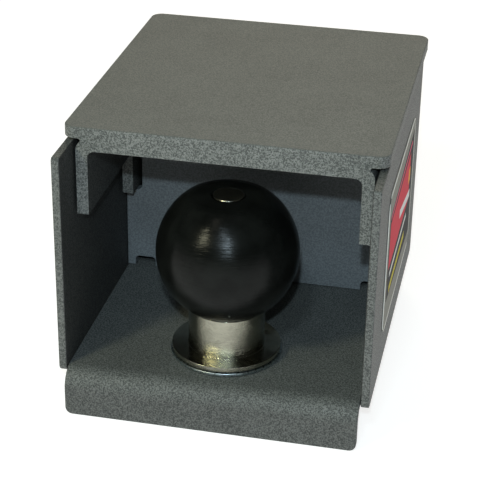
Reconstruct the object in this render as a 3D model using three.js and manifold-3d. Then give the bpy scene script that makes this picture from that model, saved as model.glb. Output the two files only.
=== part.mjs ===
// Lockable steel box around a trailer hitch ball, in millimetres, +Z up.
// The origin is the centre of the ball, where a trailer's coupler holds the box up.
// Heights below are above the top of the floor plate, and the last lines move the whole to its origin.
// The open front faces -Y, and the lock is in the back, at +Y.
import * as THREE from 'three';
import { mergeVertices } from 'three/addons/utils/BufferGeometryUtils.js';
import Module from 'manifold-3d';

const wasm = await Module();
wasm.setup();

// ---------- driving dimensions ----------
// what touches keeps this much air, so that each piece stays its own solid
const TOUCH = 0.3;

// box
const BOX_WIDTH = 128.4;
const SIDE_THICKNESS = 3.4;
const SIDE_HEIGHT = 96;
const SIDE_CORNER = 3;
const FLOOR_THICKNESS = 3.4;
const FRONT_TO_POST = 28.5;
const BAY_DEPTH = 91.5;
const BACK_THICKNESS = 4.8;
const LOCK_BAY_DEPTH = 31.7;
const REAR_THICKNESS = 4.8;
const REAR_RECESS = 11.2;

// bent lips of the floor plate
const LIP_REACH = 5.4;
const LIP_HEIGHT = 20;
const LIP_BEND = 5;
const LIP_CORNER = 3;
const REAR_LIP_INSET = 1;

// drain slots in the foot of the back plate
const DRAIN_WIDTH = 9.3;
const DRAIN_HEIGHT = 4.8;
const DRAIN_TO_WALL = 4;
const DRAIN_CORNER = 1.8;

// lid
const LID_SIDE_OVERHANG = 0.6;
const LID_REAR_OVERHANG = 14;
const LID_THICKNESS = 4.8;
const LID_SETBACK = 16.6;
const LID_CORNER = 5;
const LID_OVER_SIDES = 1.8;
const CHANNEL_THICKNESS = 4.8;
const CHANNEL_OUTER_BEND = 5;
const CHANNEL_INNER_BEND = 3;
const CHANNEL_TO_WALL = 1.35;
const LEG_HEIGHT = 32.5;
const TONGUE_HEIGHT = 20.4;
const TONGUE_LEAD = 10;
const TONGUE_REACH = 22;
const TONGUE_CORNER = 2.5;
const SLOT_ROOM = 2.6;
const SLOT_SIDE_ROOM = 1.3;
const STOP_ROOM = 0.4;

// ball and post
const BALL_DIAMETER = 58.74;
const BALL_CENTRE_HEIGHT = 46.4;
const BALL_FLAT_DIAMETER = 31.6;
const NECK_DIAMETER = 31.75;
const FLANGE_DIAMETER = 45.4;
const FLANGE_THICKNESS = 2.2;
const FLANGE_CHAMFER = 0.5;
const SEAT_WASHER_DIAMETER = 46.4;
const SEAT_WASHER_THICKNESS = 1.3;
const SPIGOT_DIAMETER = 20;
const SPIGOT_HEIGHT = 36;
const POST_TOP_DIAMETER = 13.2;
const POST_PROUD = 0.5;
const POST_TOP_CHAMFER = 0.9;
const SHANK_DIAMETER = 19.05;
const THREAD_PITCH = 2.54;
const THREAD_DEPTH = 0.8;
const SHANK_ROOM = 0.5;
const FIT_ROOM = 0.25;

// nut and spring washer below the floor
const NUT_FLATS = 28.6;
const NUT_HEIGHT = 9.6;
const SPRING_WASHER_DIAMETER = 32;
const SPRING_WASHER_THICKNESS = 3.6;
const SPRING_WASHER_GAP = 2.4;
const SHANK_PAST_NUT = 0.8;

// cam lock in the rear plate
const LOCK_TO_WALL = 30.8;
const LOCK_OVER_TONGUE_EDGE = 7.8;
const LOCK_FACE_DIAMETER = 23;
const LOCK_FACE_THICKNESS = 2.2;
const LOCK_BARREL_DIAMETER = 18.6;
const LOCK_BARREL_FLATS = 15.8;
const LOCK_BARREL_LENGTH = 21;
const LOCK_NUT_FLATS = 24;
const LOCK_NUT_THICKNESS = 4;
const PLUG_DIAMETER = 12;
const PLUG_LIP_DIAMETER = 14.4;
const PLUG_LIP_THICKNESS = 1;
const PLUG_SQUARE = 8;
const KEYWAY_WIDTH = 2.2;
const KEYWAY_HEIGHT = 7.2;
const KEYWAY_DEPTH = 18;
const WAFER_COUNT = 5;
const WAFER_PITCH = 3;
const WAFER_THICKNESS = 1;
const WAFER_WIDTH = 6.4;
const WAFER_HEIGHT = 10.4;
const WAFER_WINDOW_WIDTH = 2.8;
const WAFER_WINDOW_HEIGHT = 6.4;
const CAM_REACH = 28.8;
const CAM_WIDTH = 10;
const CAM_THICKNESS = 3;
const CAM_BOSS_DIAMETER = 15;
const CAM_WASHER_DIAMETER = 11;
const CAM_WASHER_THICKNESS = 1;
const CAM_SCREW_DIAMETER = 4.8;
const CAM_SCREW_LENGTH = 8;
const CAM_SCREW_HEAD_DIAMETER = 9;
const CAM_SCREW_HEAD_HEIGHT = 3.2;
const CAM_SCREW_SOCKET = 4;
const CAM_NOTCH_ROOM = 0.8;

// label on the right-hand side plate
const LABEL_LENGTH = 90.5;
const LABEL_HEIGHT = 63;
const LABEL_THICKNESS = 0.3;
const LABEL_CORNER = 7;
const LABEL_FROM_FRONT = 30;
const LABEL_UP = 16.5;

// facets of round pieces
const ROUND_LARGE = 64;
const ROUND_SMALL = 40;
const BEND_STEPS = 6;

// ---------- places worked out from the sizes ----------
const FRONT = -FRONT_TO_POST;
const INNER_HALF = BOX_WIDTH / 2 - SIDE_THICKNESS;
const BACK_FACE = FRONT + BAY_DEPTH;
const BACK_REAR = BACK_FACE + BACK_THICKNESS;
const REAR_FACE = BACK_REAR + LOCK_BAY_DEPTH;
const REAR_OUTER = REAR_FACE + REAR_THICKNESS;
const SIDES_REAR = REAR_OUTER + REAR_RECESS;
const SIDES_BOTTOM = -FLOOR_THICKNESS;
const SIDES_TOP = SIDES_BOTTOM + SIDE_HEIGHT;

const LID_FRONT = FRONT + LID_SETBACK;
const LID_REAR = SIDES_REAR + LID_REAR_OVERHANG;
const LID_UNDER = SIDES_TOP + LID_OVER_SIDES;
const CHANNEL_TOP = LID_UNDER - TOUCH;
const WEB_UNDER = CHANNEL_TOP - CHANNEL_THICKNESS;
const LEG_OUTER = INNER_HALF - CHANNEL_TO_WALL;
const LEG_INNER = LEG_OUTER - CHANNEL_THICKNESS;
const LEG_BOTTOM = CHANNEL_TOP - LEG_HEIGHT;
const TONGUE_BOTTOM = LEG_BOTTOM - TONGUE_HEIGHT;
const TONGUE_FRONT = BACK_FACE - TONGUE_LEAD;
const TONGUE_REAR = BACK_REAR + TONGUE_REACH;

const FLANGE_BOTTOM = SEAT_WASHER_THICKNESS + 2 * TOUCH;
const FLANGE_TOP = FLANGE_BOTTOM + FLANGE_THICKNESS;
const BALL_RADIUS = BALL_DIAMETER / 2;
const NECK_TOP = BALL_CENTRE_HEIGHT - BALL_RADIUS * Math.cos(Math.asin(NECK_DIAMETER / BALL_DIAMETER));
const BALL_TOP = BALL_CENTRE_HEIGHT + BALL_RADIUS * Math.cos(Math.asin(BALL_FLAT_DIAMETER / BALL_DIAMETER));
const SPRING_WASHER_TOP = SIDES_BOTTOM - TOUCH;
const NUT_TOP = SPRING_WASHER_TOP - SPRING_WASHER_THICKNESS - TOUCH;
const SHANK_END = NUT_TOP - NUT_HEIGHT - SHANK_PAST_NUT;

const LOCK_X = -(INNER_HALF - LOCK_TO_WALL);
const LOCK_Z = TONGUE_BOTTOM + LOCK_OVER_TONGUE_EDGE;
const LOCK_FACE_REAR = REAR_OUTER + TOUCH + LOCK_FACE_THICKNESS;
const BARREL_END = REAR_OUTER + TOUCH - LOCK_BARREL_LENGTH;
const CAM_REAR = BARREL_END - TOUCH;
const CAM_FRONT = CAM_REAR - CAM_THICKNESS;

// ---------- materials ----------
function paint(colour, roughness, metalness) {
  return new THREE.MeshStandardMaterial({ color: colour, roughness, metalness });
}
const textured = paint(0x4b4f4c, 0.75, 0.2);
const texturedBlue = paint(0x4f5960, 0.7, 0.2);
const satinBlack = paint(0x151515, 0.45, 0.3);
const brightSteel = paint(0xd8d6cf, 0.12, 1.0);
const zincSteel = paint(0xa9adb0, 0.35, 1.0);
const brass = paint(0xb59a5b, 0.35, 1.0);
const printed = paint(0xb3212b, 0.4, 0.0);

// ---------- turning shapes into solids ----------
const ALONG_Y = new THREE.Matrix4().makeBasis(
  new THREE.Vector3(1, 0, 0), new THREE.Vector3(0, 0, 1), new THREE.Vector3(0, -1, 0));
const ALONG_X = new THREE.Matrix4().makeBasis(
  new THREE.Vector3(0, 1, 0), new THREE.Vector3(0, 0, 1), new THREE.Vector3(1, 0, 0));

function solid(geometry) {
  const bare = geometry.clone();
  bare.deleteAttribute('normal');
  bare.deleteAttribute('uv');
  const merged = mergeVertices(bare, 1e-4);
  return new wasm.Manifold(new wasm.Mesh({
    numProp: 3,
    vertProperties: new Float32Array(merged.attributes.position.array),
    triVerts: new Uint32Array(merged.index.array),
  }));
}

function geometryOf(manifold) {
  const mesh = manifold.getMesh();
  const geometry = new THREE.BufferGeometry();
  geometry.setAttribute('position', new THREE.BufferAttribute(new Float32Array(mesh.vertProperties), 3));
  geometry.setIndex(new THREE.BufferAttribute(new Uint32Array(mesh.triVerts), 1));
  geometry.computeVertexNormals();
  return geometry;
}

function part(name, manifold, material) {
  const mesh = new THREE.Mesh(geometryOf(manifold), material);
  mesh.name = name;
  return mesh;
}

// A box from its low and high corners.
function block(x0, x1, y0, y1, z0, z1) {
  const geometry = new THREE.BoxGeometry(x1 - x0, y1 - y0, z1 - z0);
  geometry.translate((x0 + x1) / 2, (y0 + y1) / 2, (z0 + z1) / 2);
  return solid(geometry);
}

// A closed outline turned about Z, from points of [radius, height] that run counter-clockwise.
function turned(points, facets) {
  const outline = points.map(([r, h]) => new THREE.Vector2(r, h));
  const geometry = new THREE.LatheGeometry(outline, facets);
  geometry.rotateX(Math.PI / 2);
  return solid(geometry);
}

function ring(inner, outer, low, high, facets) {
  return turned([[inner, low], [outer, low], [outer, high], [inner, high], [inner, low]], facets);
}

function disc(radius, low, high, facets) {
  return turned([[0, low], [radius, low], [radius, high], [0, high]], facets);
}

// The same solid with its Z axis laid along +Y.
function laidBack(manifold) {
  const geometry = geometryOf(manifold);
  geometry.rotateX(-Math.PI / 2);
  return solid(geometry);
}

// An outline of a rectangle with one radius at each corner, from low-left counter-clockwise.
function roundedOutline(x0, x1, y0, y1, radii) {
  const [a, b, c, d] = radii;
  const shape = new THREE.Shape();
  shape.moveTo(x0 + a, y0);
  shape.lineTo(x1 - b, y0);
  if (b > 0) shape.absarc(x1 - b, y0 + b, b, -Math.PI / 2, 0, false);
  shape.lineTo(x1, y1 - c);
  if (c > 0) shape.absarc(x1 - c, y1 - c, c, 0, Math.PI / 2, false);
  shape.lineTo(x0 + d, y1);
  if (d > 0) shape.absarc(x0 + d, y1 - d, d, Math.PI / 2, Math.PI, false);
  shape.lineTo(x0, y0 + a);
  if (a > 0) shape.absarc(x0 + a, y0 + a, a, Math.PI, Math.PI * 1.5, false);
  return shape;
}

function extruded(shape, length) {
  const settings = { depth: length, bevelEnabled: false, curveSegments: BEND_STEPS };
  return new THREE.ExtrudeGeometry(shape, settings);
}

// An outline in X and Z, from front to rear in Y.
function acrossY(shape, front, rear) {
  const geometry = extruded(shape, rear - front);
  geometry.applyMatrix4(ALONG_Y);
  geometry.translate(0, rear, 0);
  return solid(geometry);
}

// An outline in Y and Z, from left to right in X.
function acrossX(shape, left, right) {
  const geometry = extruded(shape, right - left);
  geometry.applyMatrix4(ALONG_X);
  geometry.translate(left, 0, 0);
  return solid(geometry);
}

// An outline in X and Y, from low to high in Z.
function acrossZ(shape, low, high) {
  const geometry = extruded(shape, high - low);
  geometry.translate(0, 0, low);
  return solid(geometry);
}

function hexagon(flats) {
  const shape = new THREE.Shape();
  for (let i = 0; i < 6; i += 1) {
    const angle = (i + 0.5) * Math.PI / 3;
    const x = flats / Math.sqrt(3) * Math.cos(angle);
    const y = flats / Math.sqrt(3) * Math.sin(angle);
    if (i === 0) shape.moveTo(x, y);
    else shape.lineTo(x, y);
  }
  return shape;
}

// ---------- the box ----------
function sidePlate(left) {
  const shape = roundedOutline(FRONT, SIDES_REAR, SIDES_BOTTOM, SIDES_TOP,
    [SIDE_CORNER, SIDE_CORNER, SIDE_CORNER / 2, SIDE_CORNER / 2]);
  const outer = BOX_WIDTH / 2;
  return left ? acrossX(shape, -outer, -INNER_HALF) : acrossX(shape, INNER_HALF, outer);
}

// The floor is one strip bent down at both ends, seen here from the side.
function floorSection() {
  const front = FRONT - LIP_REACH;
  const rear = SIDES_REAR - REAR_LIP_INSET;
  const outerBend = LIP_BEND + FLOOR_THICKNESS;
  const shape = new THREE.Shape();
  shape.moveTo(front, -LIP_HEIGHT);
  shape.lineTo(front + FLOOR_THICKNESS, -LIP_HEIGHT);
  shape.lineTo(front + FLOOR_THICKNESS, -outerBend);
  shape.absarc(front + outerBend, -outerBend, LIP_BEND, Math.PI, Math.PI / 2, true);
  shape.lineTo(rear - outerBend, -FLOOR_THICKNESS);
  shape.absarc(rear - outerBend, -outerBend, LIP_BEND, Math.PI / 2, 0, true);
  shape.lineTo(rear - FLOOR_THICKNESS, -LIP_HEIGHT);
  shape.lineTo(rear, -LIP_HEIGHT);
  shape.lineTo(rear, -outerBend);
  shape.absarc(rear - outerBend, -outerBend, outerBend, 0, Math.PI / 2, false);
  shape.lineTo(front + outerBend, 0);
  shape.absarc(front + outerBend, -outerBend, outerBend, Math.PI / 2, Math.PI, false);
  return shape;
}

function floorPlate() {
  const half = INNER_HALF - TOUCH;
  const strip = acrossX(floorSection(), -half, half);
  const trimmed = acrossY(roundedOutline(-half, half, -LIP_HEIGHT, 0, [LIP_CORNER, LIP_CORNER, 0, 0]),
    FRONT - LIP_REACH, SIDES_REAR);
  const hole = disc(SHANK_DIAMETER / 2 + SHANK_ROOM, -FLOOR_THICKNESS - 1, 1, ROUND_LARGE);
  return strip.intersect(trimmed).subtract(hole);
}

// One cut at each side, for the lid's tongue and for the drain.
function backPlate() {
  const half = INNER_HALF - TOUCH;
  const top = WEB_UNDER - TOUCH;
  let plate = block(-half, half, BACK_FACE, BACK_REAR, TOUCH, top);
  for (const side of [-1, 1]) {
    const inner = side * (LEG_INNER - SLOT_SIDE_ROOM);
    const outer = side * (INNER_HALF + 1);
    const slot = roundedOutline(Math.min(inner, outer), Math.max(inner, outer),
      TONGUE_BOTTOM - SLOT_ROOM, LEG_BOTTOM + SLOT_ROOM / 2,
      [SLOT_ROOM, SLOT_ROOM, SLOT_ROOM, SLOT_ROOM]);
    const drainOuter = side * (INNER_HALF - DRAIN_TO_WALL);
    const drainInner = drainOuter - side * DRAIN_WIDTH;
    const drain = roundedOutline(Math.min(drainInner, drainOuter), Math.max(drainInner, drainOuter),
      -1, DRAIN_HEIGHT, [0, 0, DRAIN_CORNER, DRAIN_CORNER]);
    plate = plate.subtract(acrossY(slot, BACK_FACE - 1, BACK_REAR + 1));
    plate = plate.subtract(acrossY(drain, BACK_FACE - 1, BACK_REAR + 1));
  }
  return plate;
}

// The barrel's outline: a circle with two flats, turned so that the flats stand upright.
function flattedBarrel(diameter, flats, low, high) {
  const round = disc(diameter / 2, low, high, ROUND_SMALL);
  const keep = block(-flats / 2, flats / 2, -diameter, diameter, low - 1, high + 1);
  return round.intersect(keep);
}

function rearPlate() {
  const half = INNER_HALF - TOUCH;
  const plate = block(-half, half, REAR_FACE, REAR_OUTER, TOUCH, SIDES_TOP);
  const hole = laidBack(flattedBarrel(LOCK_BARREL_DIAMETER + 2 * FIT_ROOM, LOCK_BARREL_FLATS + 2 * FIT_ROOM,
    REAR_FACE - 1, REAR_OUTER + 1));
  return plate.subtract(hole.translate([LOCK_X, 0, LOCK_Z]));
}

// ---------- the lid ----------
function lidTopPlate() {
  const half = BOX_WIDTH / 2 + LID_SIDE_OVERHANG;
  const shape = roundedOutline(-half, half, LID_FRONT, LID_REAR,
    [LID_CORNER, LID_CORNER, LID_CORNER, LID_CORNER]);
  return acrossZ(shape, LID_UNDER, LID_UNDER + LID_THICKNESS);
}

function channelSection() {
  const outer = CHANNEL_OUTER_BEND;
  const inner = CHANNEL_INNER_BEND;
  const shape = new THREE.Shape();
  shape.moveTo(-LEG_OUTER, TONGUE_BOTTOM);
  shape.lineTo(-LEG_INNER, TONGUE_BOTTOM);
  shape.lineTo(-LEG_INNER, WEB_UNDER - inner);
  shape.absarc(-LEG_INNER + inner, WEB_UNDER - inner, inner, Math.PI, Math.PI / 2, true);
  shape.lineTo(LEG_INNER - inner, WEB_UNDER);
  shape.absarc(LEG_INNER - inner, WEB_UNDER - inner, inner, Math.PI / 2, 0, true);
  shape.lineTo(LEG_INNER, TONGUE_BOTTOM);
  shape.lineTo(LEG_OUTER, TONGUE_BOTTOM);
  shape.lineTo(LEG_OUTER, CHANNEL_TOP - outer);
  shape.absarc(LEG_OUTER - outer, CHANNEL_TOP - outer, outer, 0, Math.PI / 2, false);
  shape.lineTo(-LEG_OUTER + outer, CHANNEL_TOP);
  shape.absarc(-LEG_OUTER + outer, CHANNEL_TOP - outer, outer, Math.PI / 2, Math.PI, false);
  return shape;
}

// What stays of each leg: the leg in front of the back plate, and the tongue that passes through it.
function legOutline() {
  const stop = BACK_FACE - STOP_ROOM;
  const round = TONGUE_CORNER;
  const shape = new THREE.Shape();
  shape.moveTo(LID_FRONT - 1, LEG_BOTTOM);
  shape.lineTo(TONGUE_FRONT, LEG_BOTTOM);
  shape.lineTo(TONGUE_FRONT, TONGUE_BOTTOM);
  shape.lineTo(TONGUE_REAR - round, TONGUE_BOTTOM);
  shape.absarc(TONGUE_REAR - round, TONGUE_BOTTOM + round, round, -Math.PI / 2, 0, false);
  shape.lineTo(TONGUE_REAR, LEG_BOTTOM - round);
  shape.absarc(TONGUE_REAR - round, LEG_BOTTOM - round, round, 0, Math.PI / 2, false);
  shape.lineTo(stop, LEG_BOTTOM);
  shape.lineTo(stop, WEB_UNDER);
  shape.lineTo(TONGUE_REAR + 1, WEB_UNDER);
  shape.lineTo(TONGUE_REAR + 1, CHANNEL_TOP + 1);
  shape.lineTo(LID_FRONT - 1, CHANNEL_TOP + 1);
  return shape;
}

// The notch in the left tongue that the lock's cam swings up into.
function camNotch() {
  const top = LOCK_Z + CAM_WIDTH / 2 + CAM_NOTCH_ROOM;
  return block(-LEG_OUTER - 1, -LEG_INNER + 1, CAM_FRONT - CAM_NOTCH_ROOM, CAM_REAR + CAM_NOTCH_ROOM,
    TONGUE_BOTTOM - 1, top);
}

function lidChannel() {
  const channel = acrossY(channelSection(), LID_FRONT, TONGUE_REAR);
  const kept = acrossX(legOutline(), -LEG_OUTER - 1, LEG_OUTER + 1);
  return channel.intersect(kept).subtract(camNotch());
}

// ---------- ball and post ----------
function arc(radius, centre, from, to, steps) {
  return Array.from({ length: steps + 1 }, (_, i) => {
    const angle = from + (to - from) * i / steps;
    return [radius * Math.cos(angle), centre + radius * Math.sin(angle)];
  });
}

function hitchBall() {
  const spigotBore = SPIGOT_DIAMETER / 2 + FIT_ROOM;
  const topBore = POST_TOP_DIAMETER / 2 + FIT_ROOM;
  const step = NECK_TOP + SPIGOT_HEIGHT + FIT_ROOM;
  const bottom = NECK_TOP + FIT_ROOM;
  const lowAngle = Math.asin((bottom - BALL_CENTRE_HEIGHT) / BALL_RADIUS);
  const highAngle = Math.asin((BALL_TOP - BALL_CENTRE_HEIGHT) / BALL_RADIUS);
  return turned([
    [spigotBore, bottom],
    ...arc(BALL_RADIUS, BALL_CENTRE_HEIGHT, lowAngle, highAngle, ROUND_LARGE / 2),
    [topBore, BALL_TOP],
    [topBore, step],
    [spigotBore, step],
    [spigotBore, bottom],
  ], ROUND_LARGE);
}

// The threaded end as rings of one pitch, from its tip up to just under the flange.
function threadPoints(low, high) {
  const radius = SHANK_DIAMETER / 2;
  const turns = Math.floor((high - low) / THREAD_PITCH);
  const points = [[radius - THREAD_DEPTH, low]];
  for (let i = 0; i < turns; i += 1) {
    const crest = low + (i + 0.5) * THREAD_PITCH;
    points.push([radius, crest]);
    points.push([radius - THREAD_DEPTH, crest + THREAD_PITCH / 2]);
  }
  return points;
}

function ballPost() {
  const flange = FLANGE_DIAMETER / 2;
  const neck = NECK_DIAMETER / 2;
  const top = POST_TOP_DIAMETER / 2;
  const end = BALL_TOP + POST_PROUD;
  const thread = threadPoints(SHANK_END, -FLOOR_THICKNESS);
  return turned([
    [0, SHANK_END],
    ...thread,
    [SHANK_DIAMETER / 2, thread.at(-1)[1] + THREAD_DEPTH],
    [SHANK_DIAMETER / 2, FLANGE_BOTTOM],
    [flange - FLANGE_CHAMFER / 2, FLANGE_BOTTOM],
    [flange, FLANGE_BOTTOM + FLANGE_CHAMFER / 2],
    [flange, FLANGE_TOP - FLANGE_CHAMFER],
    [flange - FLANGE_CHAMFER, FLANGE_TOP],
    [neck, FLANGE_TOP],
    [neck, NECK_TOP],
    [SPIGOT_DIAMETER / 2, NECK_TOP],
    [SPIGOT_DIAMETER / 2, NECK_TOP + SPIGOT_HEIGHT],
    [top, NECK_TOP + SPIGOT_HEIGHT],
    [top, end - POST_TOP_CHAMFER],
    [top - POST_TOP_CHAMFER, end],
    [0, end],
  ], ROUND_LARGE);
}

function seatWasher() {
  return ring(SHANK_DIAMETER / 2 + SHANK_ROOM, SEAT_WASHER_DIAMETER / 2,
    TOUCH, TOUCH + SEAT_WASHER_THICKNESS, ROUND_LARGE);
}

// A split ring with square section.
function springWasher() {
  const low = SPRING_WASHER_TOP - SPRING_WASHER_THICKNESS;
  const whole = ring(SHANK_DIAMETER / 2 + SHANK_ROOM, SPRING_WASHER_DIAMETER / 2, low, SPRING_WASHER_TOP,
    ROUND_SMALL);
  const gap = block(0, SPRING_WASHER_DIAMETER, -SPRING_WASHER_GAP / 2, SPRING_WASHER_GAP / 2,
    low - 1, SPRING_WASHER_TOP + 1);
  return whole.subtract(gap);
}

// A hexagon with its corners turned off at both faces.
function chamferedHex(flats, low, high) {
  const prism = acrossZ(hexagon(flats), low, high);
  const corner = flats / Math.sqrt(3);
  const chamfer = corner - flats / 2;
  const cone = turned([
    [0, low], [flats / 2, low], [corner, low + chamfer / 2],
    [corner, high - chamfer / 2], [flats / 2, high], [0, high],
  ], ROUND_SMALL);
  return prism.intersect(cone);
}

function ballNut() {
  const low = NUT_TOP - NUT_HEIGHT;
  const bore = disc(SHANK_DIAMETER / 2 + FIT_ROOM, low - 1, NUT_TOP + 1, ROUND_LARGE);
  return chamferedHex(NUT_FLATS, low, NUT_TOP).subtract(bore);
}

// ---------- the lock ----------
// Each piece is drawn about its own Z axis with +Z to the rear, and then laid into place.
function inLock(manifold) {
  return laidBack(manifold).translate([LOCK_X, 0, LOCK_Z]);
}

function lockBody() {
  const bore = PLUG_DIAMETER / 2 + FIT_ROOM;
  const recess = PLUG_LIP_DIAMETER / 2 + FIT_ROOM;
  const face = disc(LOCK_FACE_DIAMETER / 2, REAR_OUTER + TOUCH, LOCK_FACE_REAR, ROUND_SMALL);
  const barrel = flattedBarrel(LOCK_BARREL_DIAMETER, LOCK_BARREL_FLATS, BARREL_END, REAR_OUTER + 2 * TOUCH);
  const hollow = disc(bore, BARREL_END - 1, LOCK_FACE_REAR + 1, ROUND_SMALL)
    .add(disc(recess, LOCK_FACE_REAR - PLUG_LIP_THICKNESS - FIT_ROOM, LOCK_FACE_REAR + 1, ROUND_SMALL));
  return inLock(face.add(barrel).subtract(hollow));
}

function lockNut() {
  const high = REAR_FACE - TOUCH;
  const low = high - LOCK_NUT_THICKNESS;
  const bore = disc(LOCK_BARREL_DIAMETER / 2 + FIT_ROOM, low - 1, high + 1, ROUND_SMALL);
  return inLock(chamferedHex(LOCK_NUT_FLATS, low, high).subtract(bore));
}

function waferMiddle(i) {
  return LOCK_FACE_REAR - PLUG_LIP_THICKNESS - (i + 1) * WAFER_PITCH;
}

function lockPlug() {
  const squareEnd = CAM_FRONT + TOUCH;
  const turnedPart = disc(PLUG_DIAMETER / 2, BARREL_END, LOCK_FACE_REAR, ROUND_SMALL)
    .add(disc(PLUG_LIP_DIAMETER / 2, LOCK_FACE_REAR - PLUG_LIP_THICKNESS, LOCK_FACE_REAR, ROUND_SMALL));
  const half = PLUG_SQUARE / 2;
  const square = block(-half, half, -half, half, squareEnd, BARREL_END + 1);
  const keyway = block(-KEYWAY_WIDTH / 2, KEYWAY_WIDTH / 2, -KEYWAY_HEIGHT / 2, KEYWAY_HEIGHT / 2,
    LOCK_FACE_REAR - KEYWAY_DEPTH, LOCK_FACE_REAR + 1);
  const screwHole = disc(CAM_SCREW_DIAMETER / 2 + FIT_ROOM, squareEnd - 1,
    CAM_FRONT + CAM_SCREW_LENGTH + FIT_ROOM, ROUND_SMALL);
  let plug = turnedPart.add(square).subtract(keyway).subtract(screwHole);
  for (let i = 0; i < WAFER_COUNT; i += 1) {
    const reach = WAFER_THICKNESS / 2 + FIT_ROOM;
    plug = plug.subtract(block(-WAFER_WIDTH / 2 - FIT_ROOM, WAFER_WIDTH / 2 + FIT_ROOM,
      -PLUG_DIAMETER, PLUG_DIAMETER, waferMiddle(i) - reach, waferMiddle(i) + reach));
  }
  return inLock(plug);
}

// One of the flat wafers that the key lines up, with a window that the key passes through.
function lockWafer(i) {
  const low = waferMiddle(i) - WAFER_THICKNESS / 2;
  const high = low + WAFER_THICKNESS;
  const sheet = block(-WAFER_WIDTH / 2, WAFER_WIDTH / 2, -WAFER_HEIGHT / 2, WAFER_HEIGHT / 2, low, high);
  const window = block(-WAFER_WINDOW_WIDTH / 2, WAFER_WINDOW_WIDTH / 2,
    -WAFER_WINDOW_HEIGHT / 2, WAFER_WINDOW_HEIGHT / 2, low - 1, high + 1);
  return inLock(sheet.subtract(window));
}

// The cam hangs straight down when the lock is open.
function lockCam() {
  const boss = CAM_BOSS_DIAMETER / 2;
  const arm = block(-CAM_WIDTH / 2, CAM_WIDTH / 2, 0, CAM_REACH, CAM_FRONT, CAM_REAR);
  const plate = disc(boss, CAM_FRONT, CAM_REAR, ROUND_SMALL).add(arm);
  const half = PLUG_SQUARE / 2 + FIT_ROOM;
  return inLock(plate.subtract(block(-half, half, -half, half, CAM_FRONT - 1, CAM_REAR + 1)));
}

function camWasher() {
  const high = CAM_FRONT - TOUCH;
  return inLock(ring(CAM_SCREW_DIAMETER / 2 + FIT_ROOM, CAM_WASHER_DIAMETER / 2,
    high - CAM_WASHER_THICKNESS, high, ROUND_SMALL));
}

function camScrew() {
  const headTop = CAM_FRONT - CAM_WASHER_THICKNESS - 2 * TOUCH;
  const headLow = headTop - CAM_SCREW_HEAD_HEIGHT;
  const stem = disc(CAM_SCREW_DIAMETER / 2, headTop - 1, CAM_FRONT + CAM_SCREW_LENGTH, ROUND_SMALL);
  const head = disc(CAM_SCREW_HEAD_DIAMETER / 2, headLow, headTop, ROUND_SMALL);
  const socket = acrossZ(hexagon(CAM_SCREW_SOCKET), headLow - 1, headLow + CAM_SCREW_HEAD_HEIGHT / 2);
  return inLock(head.add(stem).subtract(socket));
}

// ---------- label ----------
function sideLabel() {
  const start = FRONT + LABEL_FROM_FRONT;
  const low = SIDES_BOTTOM + LABEL_UP;
  const shape = roundedOutline(start, start + LABEL_LENGTH, low, low + LABEL_HEIGHT,
    [LABEL_CORNER, LABEL_CORNER, LABEL_CORNER, LABEL_CORNER]);
  const inner = BOX_WIDTH / 2 + TOUCH / 2;
  return acrossX(shape, inner, inner + LABEL_THICKNESS);
}

// ---------- assembly ----------
const box = new THREE.Group();
box.add(
  part('left_side_plate', sidePlate(true), textured),
  part('right_side_plate', sidePlate(false), textured),
  part('floor_plate', floorPlate(), textured),
  part('back_plate', backPlate(), texturedBlue),
  part('rear_plate', rearPlate(), textured),
  part('side_label', sideLabel(), printed),
);

const ballMount = new THREE.Group();
ballMount.add(
  part('hitch_ball', hitchBall(), satinBlack),
  part('ball_post', ballPost(), brightSteel),
  part('seat_washer', seatWasher(), zincSteel),
  part('spring_washer', springWasher(), zincSteel),
  part('ball_nut', ballNut(), zincSteel),
);

const lid = new THREE.Group();
lid.add(
  part('lid_top_plate', lidTopPlate(), textured),
  part('lid_channel', lidChannel(), textured),
);

const lock = new THREE.Group();
lock.add(
  part('lock_body', lockBody(), brightSteel),
  part('lock_nut', lockNut(), zincSteel),
  part('lock_plug', lockPlug(), brass),
  part('lock_cam', lockCam(), zincSteel),
  part('cam_washer', camWasher(), zincSteel),
  part('cam_screw', camScrew(), zincSteel),
);
for (let i = 0; i < WAFER_COUNT; i += 1) {
  lock.add(part(`lock_wafer_${i + 1}`, lockWafer(i), brass));
}

const hitch = new THREE.Group();
hitch.add(box, ballMount, lid, lock);
hitch.position.z = -BALL_CENTRE_HEIGHT;
export default hitch;
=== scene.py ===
"""The finished look of a lockable steel box round a trailer hitch ball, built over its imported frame."""
import math

import bmesh
import bpy
from mathutils import Matrix, Vector


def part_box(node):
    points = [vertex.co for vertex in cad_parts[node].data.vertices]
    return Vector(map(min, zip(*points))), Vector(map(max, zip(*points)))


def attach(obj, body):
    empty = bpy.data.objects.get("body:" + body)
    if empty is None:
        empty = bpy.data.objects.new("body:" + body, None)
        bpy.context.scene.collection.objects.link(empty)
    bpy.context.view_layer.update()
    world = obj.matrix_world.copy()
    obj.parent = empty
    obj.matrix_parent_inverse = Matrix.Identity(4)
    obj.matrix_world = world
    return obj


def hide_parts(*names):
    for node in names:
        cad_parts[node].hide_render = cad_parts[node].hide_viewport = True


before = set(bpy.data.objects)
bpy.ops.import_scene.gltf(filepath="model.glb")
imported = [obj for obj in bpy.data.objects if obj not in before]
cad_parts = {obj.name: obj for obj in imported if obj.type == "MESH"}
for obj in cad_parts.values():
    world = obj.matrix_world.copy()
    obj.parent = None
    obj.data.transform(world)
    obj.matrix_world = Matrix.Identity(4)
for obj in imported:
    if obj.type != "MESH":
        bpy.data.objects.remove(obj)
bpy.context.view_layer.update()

bl_info = {
    "name": "Hitch ball lock box",
    "version": (1, 0, 0),
    "blender": (4, 5, 0),
    "location": "3D View > Sidebar > Hitch",
    "description": "Builds the plates, lid, ball, lock and label of a trailer hitch lock box",
    "category": "Object",
}

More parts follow.
